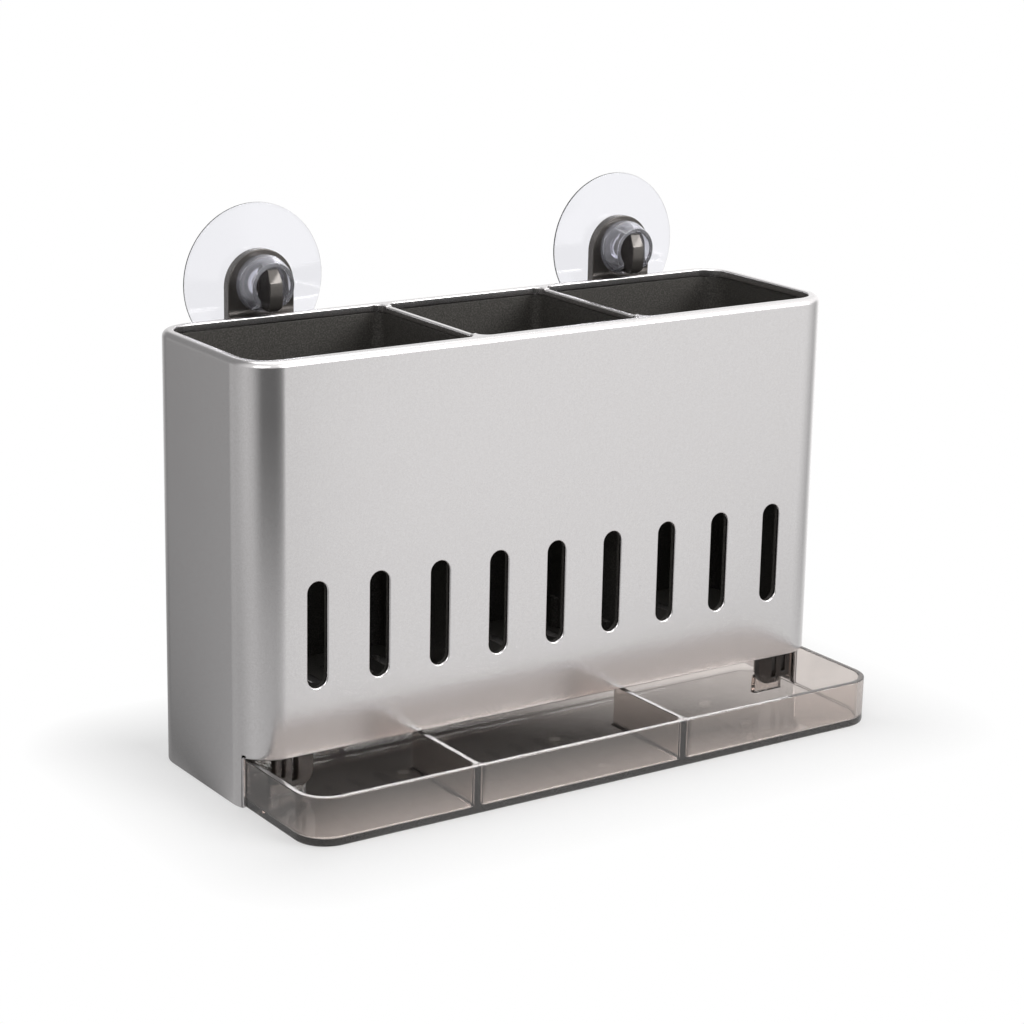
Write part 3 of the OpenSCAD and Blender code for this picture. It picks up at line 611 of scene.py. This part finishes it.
def lock_lever(x, node, body):
    """A faceted fin on a hub: its side view and its front view, kept where both agree."""
    down, up, half, top_half = LEVER_DOWN, LEVER_UP, LEVER_HALF, LEVER_TOP_HALF
    depth = FIN_BACK - FIN_FRONT
    # share of the depth from the front, and height from the axis
    profile = [(1, -0.7 * down), (1, 0.7 * up), (0.84, up), (0.42, up), (0.27, 0.92 * up),
               (0, 0.22 * up), (0, -0.66 * down), (0.07, -0.84 * down), (0.25, -down),
               (0.68, -down)]
    # distance to the side of the axis, and height from it
    outline = [(-half, -0.82 * down), (-half, 0.3 * up), (-top_half, up), (top_half, up),
               (half, 0.3 * up), (half, -0.82 * down), (0.6 * half, -down), (-0.6 * half, -down)]
    bm = pushed([(x - half - CUT, FIN_FRONT + share * depth, CUP_Z + z) for share, z in profile],
                (2 * (half + CUT), 0, 0))
    bm = carve(bm, pushed([(x + dx, FIN_FRONT - CUT, CUP_Z + z) for dx, z in outline],
                          (0, depth + 2 * CUT, 0)), "INTERSECT")
    bm = carve(bm, rod(HUB_R, LOCK_BACK - HUB_L, LOCK_BACK, x, CUP_Z, segments=48), "UNION")
    bm = carve(bm, rod(PIVOT_BORE_R, BORE_FRONT, LOCK_BACK + CUT, x, CUP_Z, segments=40))
    bm = carve(bm, rod(BEAD_BORE_R, BORE_FRONT, BEAD_BACK, x, CUP_Z, segments=40))
    finished(bm, node, GREY, body=body, edge=0.3, segments=3)


outer_shell()
inner_liner()
drip_tray()
for x, word in ((-CUP_X, "left"), (CUP_X, "right")):
    suction_cup(x, "suction_cup_" + word)
    hanger_tab(x, "hanger_tab_" + word)
    lock_collar(x, "lock_collar_" + word, "lock_" + word)
    lock_lever(x, "lock_lever_" + word, "lock_" + word)

for finish, edge, nodes in (
        (DARK, 0.3, ("tray_stop_left", "tray_stop_right", "rail_left", "rail_right")),
        (FLOOR, 0.3, ("drain_floor",)),
        (STEEL, 0.12, ("floor_screws", "rail_screws", "stop_screws", "tab_screws"))):
    for node in nodes:
        finished(copy_of(node), node, finish, edge=edge)


# ---- floor, light and camera, in metres ----

# Level of the surroundings that gloss shows, by compass angle in degrees: 0 is the wall
# side, 90 the right, -90 the left and 180 the front. The room is bright on the right and half
# as bright on the left, with a dark flag across the front and a dim stretch left of the wall.
FAR_RING = ((-180, 0.12), (-140, 0.12), (-115, 0.55), (-95, 0.66), (-60, 0.5), (-38, 0.53),
            (-28, 0.34), (-18, 0.2), (10, 0.8), (48, 1.3), (70, 1.3), (92, 0.5), (120, 0.9),
            (152, 1.0), (158, 0.3), (165, 0.18), (180, 0.12))
# The floor near the body is more even
NEAR_RING = ((-180, 0.5), (-110, 0.6), (-70, 0.45), (-38, 0.48), (-26, 0.34), (-14, 0.2),
             (20, 0.6), (48, 1.2), (70, 1.2), (92, 0.75), (120, 0.9), (148, 0.9), (166, 0.58),
             (180, 0.5))
# Higher up the room is bright all round, except on the wall side and left of it
HIGH_RING = ((-180, 1.0), (-90, 0.8), (-50, 0.3), (5, 0.3), (34, 0.95), (70, 1.3), (140, 1.3),
             (180, 1.0))
# Upward share of a direction, from which the far ring turns into the high ring
SKY_LOW, SKY_HIGH = 0.05, 0.4
# Middle of the rings on the floor, in the body's left front corner, and the distances from
# it between which the near ring turns into the far ring
RING_MIDDLE = (-0.118, -0.0165, 0)
NEAR_REACH, FAR_REACH = 0.18, 0.5
# Level at which the room lights matt surfaces, where 1 is white
ROOM_LEVEL = 0.3
# Level of the painted shadow on the paper under the body, as glass shows it
PAINTED_SHADOW_UNDER_BODY = 0.035
# Share of plain white in the paper at the object, as the eye sees it, and the distance from
# the object at which all of it is white
WHITE_AT_OBJECT, SHADOW_REACH = 0.5, 0.045

# The photograph's view: 34 degrees round to the left and 16 degrees above the object
CAMERA_PLACE = (-0.530736, -0.77509, 0.34906)
AZIMUTH, ELEVATION, ROLL = 0.5956, 0.2733, -0.0203
SENSOR, LENS = 36, 93.9


def ring_level(tree, place, ring):
    """Level of a ring at the compass angle of a place or direction."""
    parts = add(tree, "ShaderNodeSeparateXYZ", {0: place})
    angle = add(tree, "ShaderNodeMath", {0: parts.outputs[0], 1: parts.outputs[1]},
                operation="ARCTAN2")
    share = add(tree, "ShaderNodeMapRange", {0: angle.outputs[0], 1: -math.pi, 2: math.pi})
    ramp = add(tree, "ShaderNodeValToRGB", {0: share.outputs[0]})
    stops = ramp.color_ramp.elements
    for number, (degrees, level) in enumerate(ring):
        stop = stops[number] if number < 2 else stops.new(1.0)
        stop.position = degrees / 360 + 0.5
        stop.color = (level, level, level, 1)
    return ramp.outputs["Color"]


def outside(tree, place, low, high):
    """Distance of a floor point from the rectangle under a box, 0 inside it."""
    middle = ((low[0] + high[0]) / 2, (low[1] + high[1]) / 2, 0)
    half = ((high[0] - low[0]) / 2, (high[1] - low[1]) / 2, 0)
    way = add(tree, "ShaderNodeVectorMath", {0: place, 1: middle}, operation="SUBTRACT")
    way = add(tree, "ShaderNodeVectorMath", {0: way.outputs[0]}, operation="ABSOLUTE")
    way = add(tree, "ShaderNodeVectorMath", {0: way.outputs[0], 1: half}, operation="SUBTRACT")
    way = add(tree, "ShaderNodeVectorMath", {0: way.outputs[0], 1: (0, 0, 0)},
              operation="MAXIMUM")
    return add(tree, "ShaderNodeVectorMath", {0: way.outputs[0]},
               operation="LENGTH").outputs["Value"]


def level_in_gloss(tree, place):
    """Level of the floor as gloss shows it: the near ring at the body, the far ring away."""
    way = add(tree, "ShaderNodeVectorMath", {0: place, 1: RING_MIDDLE},
              operation="SUBTRACT").outputs[0]
    reach = add(tree, "ShaderNodeVectorMath", {0: way}, operation="LENGTH").outputs["Value"]
    away = add(tree, "ShaderNodeMapRange", {0: reach, 1: NEAR_REACH, 2: FAR_REACH},
               interpolation_type="SMOOTHSTEP").outputs[0]
    return add(tree, "ShaderNodeMix", {0: away, 2: ring_level(tree, way, NEAR_RING),
                                       3: ring_level(tree, way, FAR_RING)}).outputs[0]


def painted_shade_through_glass(tree, place, beside):
    """Level of the floor as the tray shows it, all painted: a painted shadow dark under the body,
    and painted light in front of it, towards the back right, where the light comes in, and away
    from the object."""
    ahead = add(tree, "ShaderNodeVectorMath", {0: place, 1: (0, -1, 0)},
                operation="DOT_PRODUCT").outputs["Value"]
    back_right = add(tree, "ShaderNodeVectorMath", {0: place, 1: (0.6, 0.6, 0)},
                     operation="DOT_PRODUCT").outputs["Value"]
    # painted shadow under the body, lifted by the painted light of each map below
    level = PAINTED_SHADOW_UNDER_BODY
    for reach, start, end, top, ease in (
            (ahead, -FRONT_Y, -FRONT_Y + 0.045, 0.85, "SMOOTHSTEP"),
            (back_right, 0.6 * FRONT_Y, 0.6 * FRONT_Y + 0.095, 1.0, "SMOOTHSTEP"),
            (beside, 0.08, 0.25, 1.0, "LINEAR")):
        painted_light = add(tree, "ShaderNodeMapRange", {0: reach, 1: start, 2: end, 3: PAINTED_SHADOW_UNDER_BODY, 4: top},
                  interpolation_type=ease).outputs[0]
        level = add(tree, "ShaderNodeMath", {0: level, 1: painted_light}, operation="MAXIMUM").outputs[0]
    return level


def studio_floor():
    """A pale sweep: white to the eye, with the object's shadow on it. Glass shows it with a
    painted shadow under the body and painted light round it, and gloss shows it as part of the
    surroundings."""
    bm = bmesh.new()
    bmesh.ops.create_grid(bm, x_segments=1, y_segments=1, size=3.0)
    obj = linked_object(bm, "studio_floor")
    material, tree, place = new_material("white_paper_floor")
    rays = add(tree, "ShaderNodeLightPath")
    beside = outside(tree, place, *cad_bounds)
    # share of plain light in what each kind of ray sees, the rest being the lit paper
    plain = add(tree, "ShaderNodeMapRange", {0: beside, 1: 0.0, 2: SHADOW_REACH,
                                             3: WHITE_AT_OBJECT, 4: 1.0}).outputs[0]
    share = add(tree, "ShaderNodeMath", {0: rays.outputs["Is Transmission Ray"],
                                         1: rays.outputs["Is Glossy Ray"]},
                operation="MAXIMUM").outputs[0]
    share = add(tree, "ShaderNodeMix", {0: rays.outputs["Is Camera Ray"], 2: share,
                                        3: plain}).outputs[0]
    level = add(tree, "ShaderNodeMix", {0: rays.outputs["Is Glossy Ray"], 2: 1.0,
                                        3: level_in_gloss(tree, place)}).outputs[0]
    # a ray through glass counts as glossy too, so what it sees, the painted shadow and light,
    # comes last
    level = add(tree, "ShaderNodeMix", {0: rays.outputs["Is Transmission Ray"], 2: level,
                                        3: painted_shade_through_glass(tree, place, beside)}).outputs[0]
    paper = add(tree, "ShaderNodeBsdfDiffuse", {"Color": (0.8, 0.8, 0.8, 1)})
    light = add(tree, "ShaderNodeEmission", {"Color": (1, 1, 1, 1), "Strength": level})
    mixed = add(tree, "ShaderNodeMixShader", {0: share, 1: paper.outputs[0], 2: light.outputs[0]})
    add(tree, "ShaderNodeOutputMaterial", {"Surface": mixed.outputs[0]})
    obj.data.materials.append(material)


def studio_world():
    """A white background to the eye and through glass, and the rings' room in gloss."""
    world = bpy.data.worlds.new("studio")
    bpy.context.scene.world = world
    world.use_nodes = True
    tree = world.node_tree
    tree.nodes.clear()
    rays = add(tree, "ShaderNodeLightPath")
    way = add(tree, "ShaderNodeTexCoord").outputs["Generated"]
    height = add(tree, "ShaderNodeSeparateXYZ", {0: way}).outputs[2]
    high = add(tree, "ShaderNodeMapRange", {0: height, 1: SKY_LOW, 2: SKY_HIGH},
               interpolation_type="SMOOTHSTEP").outputs[0]
    room = add(tree, "ShaderNodeMix", {0: high, 2: ring_level(tree, way, FAR_RING),
                                       3: ring_level(tree, way, HIGH_RING)}).outputs[0]
    level = add(tree, "ShaderNodeMix", {0: rays.outputs["Is Glossy Ray"], 2: ROOM_LEVEL,
                                        3: room}).outputs[0]
    seen = add(tree, "ShaderNodeMath", {0: rays.outputs["Is Camera Ray"],
                                        1: rays.outputs["Is Transmission Ray"]},
               operation="MAXIMUM").outputs[0]
    level = add(tree, "ShaderNodeMix", {0: seen, 2: level, 3: 1.0}).outputs[0]
    light = add(tree, "ShaderNodeBackground", {"Color": (1, 1, 1, 1), "Strength": level})
    add(tree, "ShaderNodeOutputWorld", {"Surface": light.outputs[0]})


def softbox(name, power, size, place, target):
    lamp = bpy.data.lights.new(name, "AREA")
    lamp.shape = "RECTANGLE"
    lamp.size, lamp.size_y = size
    lamp.energy = power
    obj = bpy.data.objects.new(name, lamp)
    bpy.context.scene.collection.objects.link(obj)
    obj.location = place
    obj.rotation_euler = (Vector(target) - Vector(place)).to_track_quat("-Z", "Y").to_euler()


def studio_camera():
    ahead = Vector((math.sin(AZIMUTH) * math.cos(ELEVATION),
                    math.cos(AZIMUTH) * math.cos(ELEVATION), -math.sin(ELEVATION)))
    across = Vector((math.cos(AZIMUTH), -math.sin(AZIMUTH), 0))
    down = ahead.cross(across)
    right = math.cos(ROLL) * across + math.sin(ROLL) * down
    up = math.sin(ROLL) * across - math.cos(ROLL) * down
    camera = bpy.data.cameras.new("camera")
    camera.sensor_width = SENSOR
    camera.lens = LENS
    camera.clip_start = 0.01
    obj = bpy.data.objects.new("camera", camera)
    bpy.context.scene.collection.objects.link(obj)
    turn = Matrix((right, up, -ahead)).transposed()
    obj.matrix_world = Matrix.Translation(CAMERA_PLACE) @ turn.to_4x4()
    bpy.context.scene.camera = obj


studio_floor()
studio_world()
softbox("key", power=13, size=(0.9, 0.6), place=(0.8, -1.1, 0.8), target=(0, 0, 0.06))
softbox("fill", power=5, size=(0.8, 0.6), place=(-0.9, -0.9, 0.9), target=(0, 0, 0.08))
softbox("top", power=5, size=(1.0, 0.7), place=(0.1, 0.2, 1.5), target=(0, 0, 0.1))
studio_camera()
bpy.context.scene.view_settings.view_transform = "Standard"
